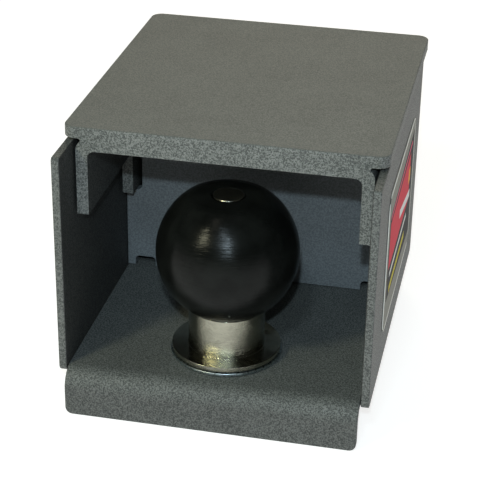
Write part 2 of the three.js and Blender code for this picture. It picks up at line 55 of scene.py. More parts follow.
MM = 0.001

# how finely shapes are rounded and smoothed, and how close counts as the same place
SHARP = math.radians(25)
SMOOTH_BELOW = math.radians(35)
POST_SMOOTH_BELOW = math.radians(40)
COPLANAR = math.radians(1)
SAME_PLACE = 2e-5
WELD_DISTANCE = 1e-6
SMALL_TURNS = 48
LOCK_TURNS = 72
PIECE_TURNS = 96
FINE_TURNS = 128
BEND_STEPS = 14

# how far a cutter runs past what it cuts, and the gaps between pieces
CUT_PAST = 2 * MM
CUT_FAR = 5 * MM
FIT_ROOM = 0.25 * MM
SEAT_GAP = 0.3 * MM

# plates; BARE_BEND is in degrees
FLOOR_THICKNESS = 3.4 * MM
FLOOR_HOLE_RADIUS = 10 * MM
CHANNEL_THICKNESS = 4.8 * MM
BARE_BEND = 55
WELD_BEVEL = 0.5 * MM
WELD_ZONE = 1.5 * MM
TONGUE_HEIGHT = 20.4 * MM
TONGUE_CORNER = 2.5 * MM
TONGUE_LEAD = 10 * MM
STOP_GAP = 0.4 * MM
SLOT_FOOT_ROOM = 2.6 * MM
SLOT_ROOM = 1.3 * MM
SLOT_PAST_WALL = 3 * MM
DRAIN_TO_WALL = 4 * MM
DRAIN_WIDTH = 9.3 * MM
DRAIN_HEIGHT = 4.8 * MM

# ball, post and what holds them; THREAD_RING gives shares of the pitch and of the depth
BALL_RADIUS = 29.37 * MM
BALL_FLAT_RADIUS = 15.8 * MM
BORE_CHAMFER_WIDTH = 0.4 * MM
BORE_CHAMFER_DEPTH = 0.3 * MM
NECK_RADIUS = 15.875 * MM
NECK_FILLET = 0.35 * MM
NECK_TOP = -math.sqrt(BALL_RADIUS ** 2 - NECK_RADIUS ** 2)
FLANGE_RADIUS = 22.7 * MM
FLANGE_THICKNESS = 2.2 * MM
SPIGOT_RADIUS = 10 * MM
SPIGOT_HEIGHT = 36 * MM
TIP_RADIUS = 6.6 * MM
TIP_ROUND = 0.9 * MM
TIP_FACE_INSET = 1 * MM
SHANK_RADIUS = 9.525 * MM
THREAD_PITCH = 2.54 * MM
THREAD_DEPTH = 0.8 * MM
THREAD_RING = ((0, 1), (0.15, 1), (0.45, 0), (0.60, 0), (0.90, 1))
WASHER_BORE_RADIUS = 10.025 * MM
WASHER_ROUND = 0.3 * MM
SPRING_GAP = 2.4 * MM
NUT_FLATS = 28.6 * MM
NUT_BORE_RADIUS = 9.775 * MM
NUT_ROUND = 0.25 * MM

# lock
LOCK_FACE_RADIUS = 11.5 * MM
LOCK_FACE_ROUND = 0.9 * MM
BARREL_RADIUS = 9.3 * MM
BARREL_CHAMFER = 0.4 * MM
BARREL_HALF_FLATS = 7.9 * MM
BARREL_FLAT_STOP = 0.05 * MM
BARREL_HOLE_RADIUS = 9.6 * MM
PLUG_BORE_RADIUS = 6.25 * MM
PLUG_SEAT_RADIUS = 7.45 * MM
PLUG_SEAT_DEPTH = 1.25 * MM
PLUG_SEAT_CHAMFER = 0.2 * MM
PLUG_RADIUS = 6 * MM
PLUG_RIM_RADIUS = 7.2 * MM
PLUG_RIM_HEIGHT = 1 * MM
PLUG_RIM_ROUND = 0.3 * MM
PLUG_DISH_RADIUS = 2.6 * MM
PLUG_DISH_FLOOR_RADIUS = 2.2 * MM
PLUG_DISH_DEPTH = 0.35 * MM
STEM_HALF_WIDTH = 4 * MM
KEYWAY_HALF_WIDTH = 1.1 * MM
KEYWAY_HALF_HEIGHT = 3.6 * MM
KEYWAY_DEPTH = 18 * MM
WAFER_COUNT = 5
WAFER_SLOT_EXTRA = 4 * MM
SCREW_HOLE_RADIUS = 2.65 * MM
LOCK_NUT_FLATS = 24 * MM
LOCK_NUT_BORE_RADIUS = 9.55 * MM
CAM_BOSS_RADIUS = 7.5 * MM
CAM_HALF_WIDTH = 5 * MM
CAM_ARM_ROUND = 2 * MM
CAM_NOTCH_ROOM = 0.8 * MM
SMALL_EDGE = 0.3 * MM

# label
LABEL_CORNER = 7 * MM
LABEL_EDGE = 0.08 * MM
LABEL_RIM = 1.3 * MM
LABEL_ART_FRONT = 2.5 * MM
LABEL_ART_FOOT = 7 * MM
LABEL_INKS = {
    "rim": (0.75, 0.75, 0.70), "panel": (0.004, 0.004, 0.005), "red": (0.62, 0.018, 0.045),
    "red edge": (0.70, 0.08, 0.16), "flash": (0.70, 0.72, 0.72), "gold": (0.80, 0.36, 0.03),
    "white": (0.72, 0.73, 0.72), "yellow": (0.50, 0.43, 0.02),
}

# finishes: how the coat changes over the box, as shares or as distances; the inward distances set where the
# inner walls get painted shade, the lip heights where the lips grow darker towards the bottom
CLOUD_SIZE = 22 * MM
PAINTED_SHADE_INWARD_ALL = -30 * MM
PAINTED_SHADE_INWARD_START = -5 * MM
LIP_SHADE_START = 3 * MM
LIP_SHADE_END = 9 * MM
LID_DEPTH_SHARE = 0.6
SMOOTH_GRAIN_SHARE = 1.3
SMOOTH_DEPTH_SHARE = 0.4

# lamps that face the ball: name, azimuth and elevation in degrees, distance and width in metres
LAMPS = (
    ("key", 11, 33, 0.72, 0.02),
    ("window", 2, 45, 0.9, 0.11),
    ("warm", -36, 36, 0.9, 0.15),
    ("ceiling", -30, 63, 0.9, 0.16),
)
# soft panels: name, place, the point that they face, and width and height in metres
PANELS = (
    ("rear", (0.1, 1.3, 0.9), (0, 0.1, 0), (1.6, 1.0)),
    ("side", (1.3, 0.35, 0.5), (0, 0.05, 0), (1.0, 0.8)),
    ("top", (0, 0.1, 1.3), (0, 0.05, 0), (1.2, 1.2)),
)
GROUND_SPAN = 60
PAPER_TOOTH = 1.5 * MM
PAPER_TONES = ((0.50, 0.50, 0.495), (0.53, 0.53, 0.525))


# ---------- sizes and colours that a user would change ----------
def length(name, description, default):
    """A length in millimetres in the text, held in metres."""
    return bpy.props.FloatProperty(name=name, description=description, default=default * MM,
                                   min=0.0, precision=5, unit="LENGTH", subtype="DISTANCE")


def colour(name, description, default):
    return bpy.props.FloatVectorProperty(name=name, description=description, default=default,
                                         size=3, min=0.0, max=1.0, subtype="COLOR")


def amount(name, description, default, highest=1.0):
    return bpy.props.FloatProperty(name=name, description=description, default=default,
                                   min=0.0, max=highest, subtype="FACTOR")


def power(name, description, default):
    return bpy.props.FloatProperty(name=name, description=description, default=default,
                                   min=0.0, subtype="POWER", unit="POWER")


class HitchPlateSizes(bpy.types.PropertyGroup):
    """How the steel plates and their bends are finished."""
    edge: length("Edge round", "Radius left on a cut edge by the coating", 0.45)
    lid_edge: length("Lid edge round", "Radius on the upper edge of the lid", 0.6)
    side_corner: length("Side plate corner", "Radius at the lower corners of a side plate", 3.0)
    side_top_corner: length("Side plate top corner", "Radius at the upper corners of a side plate", 1.5)
    lip_bend: length("Lip bend", "Inner radius of the bend at the floor's lips", 5.0)
    lip_corner: length("Lip corner", "Radius at the lower corners of a lip", 3.0)
    lid_corner: length("Lid corner", "Radius at the corners of the lid", 5.0)
    channel_bend: length("Channel bend", "Outer radius of the channel's bends", 5.0)
    channel_inner_bend: length("Channel inner bend", "Inner radius of the channel's bends", 3.0)
    weld_inset: length("Weld inset", "How far in from the channel's side the weld meets the lid", 1.4)
    slot_corner: length("Slot corner", "Radius in the corners of the tongue slots", 2.4)
    drain_corner: length("Drain corner", "Radius in the upper corners of the drain slots", 1.8)


class HitchPaint(bpy.types.PropertyGroup):
    """The textured coat on the steel, with shares of painted shade for the inner walls, the side plates and
    the floor, and a share that darkens the lips towards the bottom.
    """
    dark: colour("Dark grain", "Colour in the hollows of the coat", (0.048, 0.053, 0.050))
    light: colour("Light grain", "Colour on the crests of the coat", (0.176, 0.184, 0.174))
    grain: length("Grain", "Size of one grain of the coat", 0.36)
    depth: length("Grain depth", "Height of the grain", 0.12)
    roughness: amount("Roughness", "Roughness of the coat", 0.62)
    # Painted shade: the box's inner walls are darkened where shade falls inside the box.
    inner: amount("Inner shade", "Share of brightness kept on the box's inner walls", 0.36)
    # Painted shade: the side plates get a darker copy of the coat.
    side_painted_shade: amount("Side shade", "Share of brightness kept on the side plates", 0.80)
    # Painted shade: the whole floor plate gets a darker copy of the coat.
    floor_painted_shade: amount("Floor shade", "Share of brightness kept on the floor", 0.84)
    # The lips of the floor plate get darker towards the bottom.
    lip_shade: amount("Lip shade", "Share of brightness kept low on the floor's lips", 0.62)
    calm: amount("Calm top", "Share of the grain's contrast lost on the lid's upward face", 0.7)
    smooth_dark: colour("Smooth dark", "Darker colour of the back plate's smoother coat",
                        (0.125, 0.138, 0.145))
    smooth_light: colour("Smooth light", "Lighter colour of the back plate's smoother coat",
                         (0.190, 0.207, 0.215))


class HitchBallFinish(bpy.types.PropertyGroup):
    """The ball, its post and what holds them."""
    black: colour("Ball black", "Colour of the ball's coat", (0.004, 0.0045, 0.004))
    ball_roughness: amount("Ball roughness", "Roughness of the ball's coat", 0.22)
    steel: colour("Turned steel", "Colour of the post", (0.38, 0.37, 0.30))
    steel_roughness: amount("Turned steel roughness", "Roughness of the post", 0.15)
    zinc: colour("Zinc", "Colour of plated washers and nuts", (0.52, 0.60, 0.62))
    zinc_roughness: amount("Zinc roughness", "Roughness of plated washers and nuts", 0.3)
    shoulder: length("Ball shoulder", "Radius between the ball and the flat on its top", 9.0)
    brass: colour("Brass", "Colour of the lock's plug", (0.58, 0.42, 0.19))
    brass_roughness: amount("Brass roughness", "Roughness of the lock's plug", 0.28)
    flange_round: length("Flange round", "Radius on the post's flange", 0.35)
    neck_chamfer: length("Neck chamfer", "Chamfer at the top of the neck", 0.3)


class HitchStage(bpy.types.PropertyGroup):
    """Camera, lamps and floor."""
    azimuth: bpy.props.FloatProperty(name="Azimuth", description="Turn of the camera round the part",
                                     default=math.radians(11.65), subtype="ANGLE", unit="ROTATION")
    elevation: bpy.props.FloatProperty(name="Elevation", description="Rise of the camera",
                                       default=math.radians(26.99), subtype="ANGLE", unit="ROTATION")
    roll: bpy.props.FloatProperty(name="Roll", description="Turn of the camera about its own line of sight",
                                  default=math.radians(1.0), subtype="ANGLE", unit="ROTATION")
    place: bpy.props.FloatVectorProperty(name="Camera place", description="Where the camera stands",
                                         default=(0.1184, -0.5501, 0.2912), size=3, subtype="TRANSLATION",
                                         unit="LENGTH", precision=4)
    lens: bpy.props.FloatProperty(name="Lens", description="Focal length in millimetres",
                                  default=116.985, min=1.0)
    key_power: power("Key power", "Power of the small lamp beside the camera", 2.0)
    key_tone: colour("Key colour", "Colour of the small lamp beside the camera", (0.71, 0.89, 1.0))
    window_power: power("Window power", "Power of the cool soft lamp above", 1.3)
    window_tone: colour("Window colour", "Colour of the cool soft lamp above", (0.74, 0.90, 1.0))
    warm_power: power("Warm power", "Power of the warm lamp at the left", 2.8)
    warm_tone: colour("Warm colour", "Colour of the warm lamp at the left", (1.0, 0.98, 0.70))
    ceiling_power: power("Ceiling power", "Power of the soft lamp above the front", 0.2)
    ceiling_tone: colour("Ceiling colour", "Colour of the soft lamp above the front", (1.0, 0.93, 0.78))
    rear_power: power("Rear panel power", "Power of the soft panel behind", 12.3)
    rear_tone: colour("Rear panel colour", "Colour of the soft panel behind", (1.0, 0.95, 0.80))
    side_power: power("Side panel power", "Power of the soft panel at the right", 0.3)
    side_tone: colour("Side panel colour", "Colour of the soft panel at the right", (1.0, 0.97, 0.90))
    top_power: power("Top panel power", "Power of the soft panel overhead", 0.5)
    top_tone: colour("Top panel colour", "Colour of the soft panel overhead", (1.0, 0.98, 0.94))
    floor_glow: amount("Floor glow", "Light given by the pale floor itself", 0.75, 4.0)
    sky: amount("Room light", "Strength of the light from all round", 0.02, 4.0)
    sky_tone: colour("Room colour", "Colour of the light from all round", (1.0, 0.985, 0.95))


# ---------- picking and shaping ----------
def start_fresh():
    """Object mode with nothing selected."""
    if bpy.context.object and bpy.context.object.mode != "OBJECT":
        bpy.ops.object.mode_set(mode="OBJECT")
    bpy.ops.object.select_all(action="DESELECT")


def only(piece):
    start_fresh()
    piece.select_set(True)
    bpy.context.view_layer.objects.active = piece


def named(name):
    """The primitive just added gets its name, and its place goes into its mesh."""
    piece = bpy.context.object
    piece.name = piece.data.name = name
    bpy.ops.object.transform_apply(location=True, rotation=True, scale=True)
    return piece


def block(name, low, high):
    """A cube primitive brought to its size and place, as the start of a piece."""
    start_fresh()
    bpy.ops.mesh.primitive_cube_add(size=1.0, location=[(a + b) / 2 for a, b in zip(low, high)])
    bpy.context.object.scale = [b - a for a, b in zip(low, high)]
    return named(name)


def hexagon(name, flats, low, high, centre=(0, 0, 0), upright=True):
    """A six-sided bar from low to high, along Z or along Y."""
    start_fresh()
    middle = (low + high) / 2
    bpy.ops.mesh.primitive_cylinder_add(
        vertices=6, radius=across_corners(flats) / 2, depth=high - low,
        location=(0, 0, middle) if upright else (centre[0], middle, centre[2]),
        rotation=(0 if upright else math.pi / 2, 0, 0))
    return named(name)


def across_corners(flats):
    return flats / math.cos(math.pi / 6)


def open_edit(piece, mode):
    only(piece)
    bpy.ops.object.mode_set(mode="EDIT")
    bpy.ops.mesh.select_mode(type=mode)
    bpy.ops.mesh.select_all(action="DESELECT")
    return bmesh.from_edit_mesh(piece.data)


def close_edit():
    bpy.ops.object.mode_set(mode="OBJECT")


def merge_doubles():
    bpy.ops.mesh.select_all(action="SELECT")
    bpy.ops.mesh.remove_doubles(threshold=WELD_DISTANCE)


def near(a, b):
    return abs(a - b) < SAME_PLACE


def both(a, b, axis, value):
    """Whether the two ends of an edge lie at that value on the axis."""
    return near(getattr(a, axis), value) and near(getattr(b, axis), value)


def bevel_edges(piece, radius, segments, test):
    """Opens the piece and bevels the edges that pass the test."""
    mesh = open_edit(piece, "EDGE")
    found = [edge for edge in mesh.edges if test(edge.verts[0].co, edge.verts[1].co, edge)]
    if not found:
        raise RuntimeError(f"{piece.name}: no edge is where one was looked for")
    for edge in found:
        edge.select_set(True)
    bmesh.update_edit_mesh(piece.data)
    bpy.ops.mesh.bevel(offset=radius, offset_type="OFFSET", segments=segments, profile=0.5, affect="EDGES",
                       clamp_overlap=True)


def round_edges(piece, radius, test, segments=8):
    """Rounds the edges whose two ends pass the test."""
    bevel_edges(piece, radius, segments, lambda a, b, edge: test(a, b))
    close_edit()


def soften(piece, radius, keep=None, segments=3, angle=SHARP):
    """Rounds every sharp edge a little, but for those that keep picks out, and evens the shading."""
    def sharp(a, b, edge):
        if len(edge.link_faces) != 2 or edge.calc_face_angle(0.0) < angle:
            return False
        return keep is None or not keep(a, b)
    bevel_edges(piece, radius, segments, sharp)
    merge_doubles()
    close_edit()
    even_shading(piece)


def even_shading(piece, angle=SMOOTH_BELOW):
    only(piece)
    bpy.ops.object.shade_smooth_by_angle(angle=angle)
    weighted = piece.modifiers.new("even shading", "WEIGHTED_NORMAL")
    weighted.keep_sharp = True
    weighted.weight = 80
    bpy.ops.object.modifier_apply(modifier=weighted.name)


def cut(piece, cutters, operation="DIFFERENCE"):
    """Takes the cutters out of the piece, or joins or intersects them with it, and removes them."""
    for cutter in cutters:
        only(piece)
        boolean = piece.modifiers.new("cut", "BOOLEAN")
        boolean.operation = operation
        boolean.solver = "EXACT"
        boolean.object = cutter
        bpy.ops.object.modifier_apply(modifier=boolean.name)
        bpy.data.objects.remove(cutter)
    open_edit(piece, "VERT")
    merge_doubles()
    close_edit()


def chain(name, points):
    """A line of edges through the points, drawn from one vertex by extruding it from point to point."""
    start_fresh()
    bpy.ops.mesh.primitive_plane_add(size=MM, location=points[0])
    piece = named(name)
    bpy.ops.object.mode_set(mode="EDIT")
    bpy.ops.mesh.select_mode(type="VERT")
    bpy.ops.mesh.select_all(action="SELECT")
    bpy.ops.mesh.merge(type="CENTER")
    here = Vector(points[0])
    for point in points[1:]:
        step = Vector(point) - here
        bpy.ops.mesh.extrude_region_move(TRANSFORM_OT_translate={"value": step})
        here = Vector(point)
    merge_doubles()
    return piece


def finish_solid(piece):
    merge_doubles()
    bpy.ops.mesh.normals_make_consistent(inside=False)
    close_edit()
    return piece


def drawn_out(name, outline, front, rear):
    """A flat outline of (x, z), filled and extruded along Y from front to rear."""
    points = [(x, front, z) for x, z in outline]
    piece = chain(name, points + points[:1])
    bpy.ops.mesh.select_all(action="SELECT")
    bpy.ops.mesh.edge_face_add()
    bpy.ops.mesh.select_all(action="SELECT")
    bpy.ops.mesh.extrude_region_move(TRANSFORM_OT_translate={"value": (0, rear - front, 0)})
    return finish_solid(piece)


def turned(name, outline, centre=(0, 0, 0), upright=True, steps=PIECE_TURNS):
    """An outline of (radius, height), closed or ending on the axis, spun round an axis along Z or Y."""
    x, y, z = centre
    if upright:
        points = [(x + r, y, h) for r, h in outline]
        axis = (0, 0, 1)
    else:
        points = [(x + r, h, z) for r, h in outline]
        axis = (0, 1, 0)
    piece = chain(name, points)
    bpy.ops.mesh.select_all(action="SELECT")
    bpy.ops.mesh.spin(steps=steps, angle=math.tau, center=centre, axis=axis)
    return finish_solid(piece)


def pin(radius, low, high, centre=(0, 0, 0), upright=True):
    """A round bar that cuts a hole along Z, or along Y with fewer sides."""
    return turned("pin", [(0, low), (radius, low), (radius, high), (0, high)], centre, upright,
                  PIECE_TURNS if upright else SMALL_TURNS)


def arc(centre, radius, start, end, steps):
    """Points on an arc from one angle to another, in degrees."""
    turns = [math.radians(start + (end - start) * i / steps) for i in range(steps + 1)]
    return [(centre[0] + radius * math.cos(t), centre[1] + radius * math.sin(t)) for t in turns]


def rounded_rectangle(low, high, radii, steps=8):
    """Corner radii go round from low-left to low-right, high-right and high-left."""
    (x0, y0), (x1, y1) = low, high
    a, b, c, d = [max(r, WELD_DISTANCE) for r in radii]
    return (arc((x0 + a, y0 + a), a, 180, 270, steps) + arc((x1 - b, y0 + b), b, 270, 360, steps)
            + arc((x1 - c, y1 - c), c, 0, 90, steps) + arc((x0 + d, y1 - d), d, 90, 180, steps))


def lock_axis():
    """The point on the lock's axis at Y zero."""
    low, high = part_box("lock_body")
    return ((low.x + high.x) / 2, 0, (low.z + high.z) / 2)


# ---------- surface finishes ----------
class Field:
    """A number that changes over a surface. Sums and products of it are written as in Python."""

    def __init__(self, finish, socket):
        self.finish = finish
        self.socket = socket

    def _joined(self, operation, first, second):
        return self.finish.add("ShaderNodeMath", {"operation": operation}, {0: first, 1: second})

    def __add__(self, other):
        return self._joined("ADD", self, other)

    def __sub__(self, other):
        return self._joined("SUBTRACT", self, other)

    def __rsub__(self, other):
        return self._joined("SUBTRACT", other, self)

    def __mul__(self, other):
        return self._joined("MULTIPLY", self, other)

    def __truediv__(self, other):
        return self._joined("DIVIDE", self, other)

    def __gt__(self, other):
        return self._joined("GREATER_THAN", self, other)

    def __lt__(self, other):
        return self._joined("LESS_THAN", self, other)

    __radd__ = __add__
    __rmul__ = __mul__


class Finish:
    """A surface finish, built up node by node."""

    def __init__(self, name, **constants):
        self.material = bpy.data.materials.new(name)
        self.material.use_nodes = True
        self.tree = self.material.node_tree
        self.surface = self.tree.nodes["Principled BSDF"]
        for socket, value in constants.items():
            self.surface.inputs[socket.replace("_", " ")].default_value = value

    def add(self, kind, settings=None, values=None, output=0):
        """Adds a node, with its settings first and then the values or links of its sockets."""
        node = self.tree.nodes.new(kind)
        for key, value in (settings or {}).items():
            if key == "stops":
                ramp = node.color_ramp.elements
                while len(ramp) < len(value):
                    ramp.new(0.5)
                for element, (position, tone) in zip(ramp, value):
                    element.position = position
                    element.color = (*tone, 1.0) if hasattr(tone, "__len__") else (tone, tone, tone, 1.0)
            else:
                setattr(node, key, value)
        for key, value in (values or {}).items():
            self.feed(node.inputs[key], value)
        return Field(self, node.outputs[output])

    def feed(self, socket, value):
        if isinstance(value, Field):
            self.tree.links.new(value.socket, socket)
        elif hasattr(value, "__len__") and len(value) == 3 and socket.type == "RGBA":
            socket.default_value = (*value, 1.0)
        else:
            socket.default_value = value

    def show(self, socket, value):
        self.feed(self.surface.inputs[socket], value)

    def place(self):
        return self.add("ShaderNodeTexCoord", output="Object")

    def along(self, place, axis):
        return self.add("ShaderNodeSeparateXYZ", values={0: place}, output="XYZ".index(axis))

    def stretched(self, place, scale):
        return self.add("ShaderNodeMapping", values={"Vector": place, "Scale": scale})

    def noise(self, place, size, detail=2.0, roughness=0.5):
        """Grey noise from 0 to 1 with blotches of that size in metres."""
        return self.add("ShaderNodeTexNoise", {"noise_dimensions": "3D"},
                        {"Vector": place, "Scale": 1.0 / size, "Detail": detail, "Roughness": roughness})

    def spread(self, value, low, high, to_low=0.0, to_high=1.0):
        return self.add("ShaderNodeMapRange", {"interpolation_type": "SMOOTHSTEP"},
                        {0: value, 1: low, 2: high, 3: to_low, 4: to_high})

    def blend(self, amount_of_second, first, second, kind="MIX"):
        return self.add("ShaderNodeMix", {"data_type": "RGBA", "blend_type": kind},
                        {0: amount_of_second, 6: first, 7: second}, output=2)

    def bumps(self, height, distance):
        self.show("Normal", self.add("ShaderNodeBump", values={"Height": height, "Distance": distance}))


def dimmed(tone, share):
    return tuple(c * share for c in tone)


def powder_coat(name, dark, light, grain, depth, roughness, inner=1.0, calm=0.0, graded=None):
    """Textured coat: grains of two greys, with their own height, on broad and faint cloudiness.

    Walls that face the middle of the box are darkened by inner, as painted shade. calm takes the grain off
    upward faces.
    The height grading gives two shares of brightness and the two heights between which one passes into the
    other; on the floor the higher share is painted shade and the lower one darkens the lips towards the
    bottom."""
    coat = Finish(name, Specular_IOR_Level=0.5)
    place = coat.place()
    grains = coat.noise(place, grain * 1.7, detail=1.0, roughness=0.55)
    fine = coat.noise(place, grain * 0.8, detail=1.0)
    clouds = coat.noise(place, CLOUD_SIZE, detail=3.0)
    level = coat.spread(grains * 0.55 + fine * 0.45, 0.40, 0.60)
    tone = coat.blend(level, dark, light)
    shade = coat.spread(clouds, 0.3, 0.7, 0.94, 1.05)
    facing = coat.add("ShaderNodeNewGeometry", output="Normal")
    if calm:
        upward = coat.spread(coat.along(facing, "Z"), 0.5, 0.9, 0.0, calm)
        middle = tuple((a + b) / 2 for a, b in zip(dark, light))
        tone = coat.blend(upward, tone, middle)
    # Painted shade: walls that face the middle of the box are darkened.
    if inner < 1.0:
        inward_for_painted_shade = coat.along(facing, "X") * coat.along(place, "X")
        shade = shade * coat.spread(inward_for_painted_shade, PAINTED_SHADE_INWARD_ALL, PAINTED_SHADE_INWARD_START, inner, 1.0)
    # Two shares of brightness by height: on the floor the upper one is painted shade, the lower one makes
    # the lips darker towards the bottom.
    if graded:
        share_low, share_high, height_low, height_high = graded
        height = coat.along(place, "Z")
        shade = shade * coat.spread(height, height_low, height_high, share_low, share_high)
    grey = coat.add("ShaderNodeCombineColor", values={0: shade, 1: shade, 2: shade})
    coat.show("Base Color", coat.blend(1.0, tone, grey, "MULTIPLY"))
    coat.show("Roughness", coat.spread(level, 0.0, 1.0, roughness + 0.08, roughness - 0.06))
    coat.bumps(grains * 0.65 + fine * 0.35, depth)
    return coat.material


def turned_metal(name, tone, roughness, ring=0.06 * MM, depth=0.045 * MM):
    """Bright metal with fine rings left by the turning tool."""
    metal = Finish(name, Metallic=1.0)
    place = metal.place()
    rings = metal.noise(metal.stretched(place, (0.02, 0.02, 1.0)), ring, detail=2.0)
    stains = metal.noise(place, 6 * MM, detail=3.0)
    polish = metal.spread(rings * 0.5 + stains * 0.5, 0.3, 0.7, roughness - 0.05, roughness + 0.08)
    metal.show("Base Color", metal.blend(metal.spread(stains, 0.35, 0.75), tone, dimmed(tone, 0.82)))
    metal.show("Roughness", polish)
    metal.bumps(rings, depth)
    return metal.material


def plated_metal(name, tone, roughness):
    """Zinc plate or brass: faintly mottled, with softly worn brightness."""
    metal = Finish(name, Metallic=1.0)
    place = metal.place()
    mottle = metal.noise(place, 1.4 * MM, detail=3.0)
    stains = metal.noise(place, 7 * MM, detail=2.0)
    bright = metal.spread(mottle * 0.5 + stains * 0.5, 0.35, 0.65)
    metal.show("Base Color", metal.blend(bright, dimmed(tone, 0.7), tone))
    metal.show("Roughness", metal.spread(mottle, 0.3, 0.7, roughness - 0.06, roughness + 0.1))
    metal.bumps(mottle, 0.01 * MM)
    return metal.material


def satin_black(name, tone, roughness):
    """Black coat of the ball, with very fine rings and faint smears."""
    coat = Finish(name, Specular_IOR_Level=0.125)
    place = coat.place()
    fine = coat.noise(coat.stretched(place, (0.02, 0.02, 1.0)), 0.2 * MM, detail=1.0)
    smears = coat.noise(place, 9 * MM, detail=2.5)
    polish = coat.spread(fine * 0.4 + smears * 0.6, 0.3, 0.7, roughness - 0.04, roughness + 0.05)
    coat.show("Base Color", coat.blend(coat.spread(smears, 0.35, 0.7), tone, dimmed(tone, 1.7)))
    coat.show("Roughness", polish)
    coat.bumps(fine, 0.055 * MM)
    return coat.material


def label_print(name, low, high):
    """A plain printed film: a pale rim, a black panel and bands of red, white and yellow.

    The art's u runs rearwards and v upwards, both from 0 to 1 inside the film."""
    film = Finish(name, Roughness=0.6, Specular_IOR_Level=0.08)
    place = film.place()
    along, up = film.along(place, "Y"), film.along(place, "Z")
    front, foot = low.y + LABEL_ART_FRONT, low.z + LABEL_ART_FOOT
    u = (along - front) / (high.y - front)
    v = (up - foot) / (high.z - foot)

    def band(value, start, end):
        return (value > start) * (value < end)

    wear = film.noise(place, 1.2 * MM, detail=2.0)
    tone = film.blend(film.spread(wear, 0.3, 0.7), (0.20, 0.20, 0.175), (0.25, 0.25, 0.22))
    within = (band(along, low.y + LABEL_RIM, high.y - LABEL_RIM)
              * band(up, low.z + LABEL_RIM, high.z - LABEL_RIM))
    masks = {
        "rim": 1.0 - within,
        "panel": band(u, 0.03, 0.96) * (v > 0.12 - u * 0.12) * (v < 0.80 + u * 0.10),
        "red": band(u, 0.06, 0.85) * (v > 0.36) * (v < 0.73 + u * 0.04),
        "red edge": band(u, 0.06, 0.90) * band(v - u * 0.06, 0.755, 0.785),
        "flash": band(v + u * 0.30, 0.62, 0.69) * band(u, 0.45, 0.90),
        "gold": band(u, 0.80, 0.87) * band(v, 0.52, 0.64),
        "white": band(u, 0.12, 0.78) * band(v, 0.255, 0.295),
        "yellow": band(u, 0.13, 0.73) * band(v, 0.115, 0.175),
    }
    for ink, mask in masks.items():
        tone = film.blend(mask, tone, LABEL_INKS[ink])
    film.show("Base Color", tone)
    film.bumps(wear, 0.01 * MM)
    return film.material


def coat_kinds():
    """The settings of the plain powder coat, and what each kind of it changes."""
    look = bpy.context.scene.hitch_paint
    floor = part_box("floor_plate")[1].z
    plain = {"dark": look.dark[:], "light": look.light[:], "grain": look.grain, "depth": look.depth,
             "roughness": look.roughness}
    return plain, {
        # Painted shade on inward-facing walls.
        "textured coat": {"inner": look.inner},
        # Painted shade: a darker copy of the coat for the side plates, with their inner walls darkened too.
        "side coat": {"inner": look.inner, "dark": dimmed(look.dark, look.side_painted_shade),
                      "light": dimmed(look.light, look.side_painted_shade)},
        # Painted shade over the floor, and the lips darker towards the bottom.
        "floor coat": {"graded": (look.lip_shade, look.floor_painted_shade, floor - LIP_SHADE_END,
                                floor - LIP_SHADE_START)},
        "lid coat": {"depth": look.depth * LID_DEPTH_SHARE, "calm": look.calm},
        "smooth coat": {"dark": look.smooth_dark[:], "light": look.smooth_light[:],
                        "grain": look.grain * SMOOTH_GRAIN_SHARE, "depth": look.depth * SMOOTH_DEPTH_SHARE},
    }


def paint(kind):
    """The finish of that kind, made once."""
    made = bpy.data.materials.get(kind)
    if made:
        return made
    plain, coats = coat_kinds()
    if kind in coats:
        return powder_coat(kind, **{**plain, **coats[kind]})
    metal = bpy.context.scene.hitch_ball_finish
    if kind == "ball black":
        return satin_black(kind, metal.black[:], metal.ball_roughness)
    if kind == "turned steel":
        return turned_metal(kind, metal.steel[:], metal.steel_roughness)
    if kind == "zinc plate":
        return plated_metal(kind, metal.zinc[:], metal.zinc_roughness)
    if kind == "brass":
        return plated_metal(kind, metal.brass[:], metal.brass_roughness)
    raise RuntimeError(f"there is no finish called {kind}")


def dress(piece, finish, body, node):
    """Gives the piece its finish, its body and the node that it stands for."""
    piece.data.materials.clear()
    piece.data.materials.append(paint(finish) if isinstance(finish, str) else finish)
    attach(piece, body)
    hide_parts(node)


def dress_node(node, finish):
    """A node of the frame keeps its shape and gets a better finish."""
    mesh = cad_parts[node].data
    mesh.materials.clear()
    mesh.materials.append(paint(finish))


def finished():
    start_fresh()
    return {"FINISHED"}


# ---------- the box ----------
class HitchSidePlates(bpy.types.Operator):
    """Builds the two side plates with their rounded corners."""
    bl_idname = "hitch.side_plates"
    bl_label = "Side plates"

    def execute(self, context):
        sizes = context.scene.hitch_plates
        for node in ("left_side_plate", "right_side_plate"):
            low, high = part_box(node)
            plate = block(node.replace("_plate", "_panel"), low, high)
            for z, radius in ((low.z, sizes.side_corner), (high.z, sizes.side_top_corner)):
                round_edges(plate, radius, lambda a, b: near(a.y, b.y) and both(a, b, "z", z))
            soften(plate, sizes.edge)
            dress(plate, "side coat", "box", node)
        return finished()


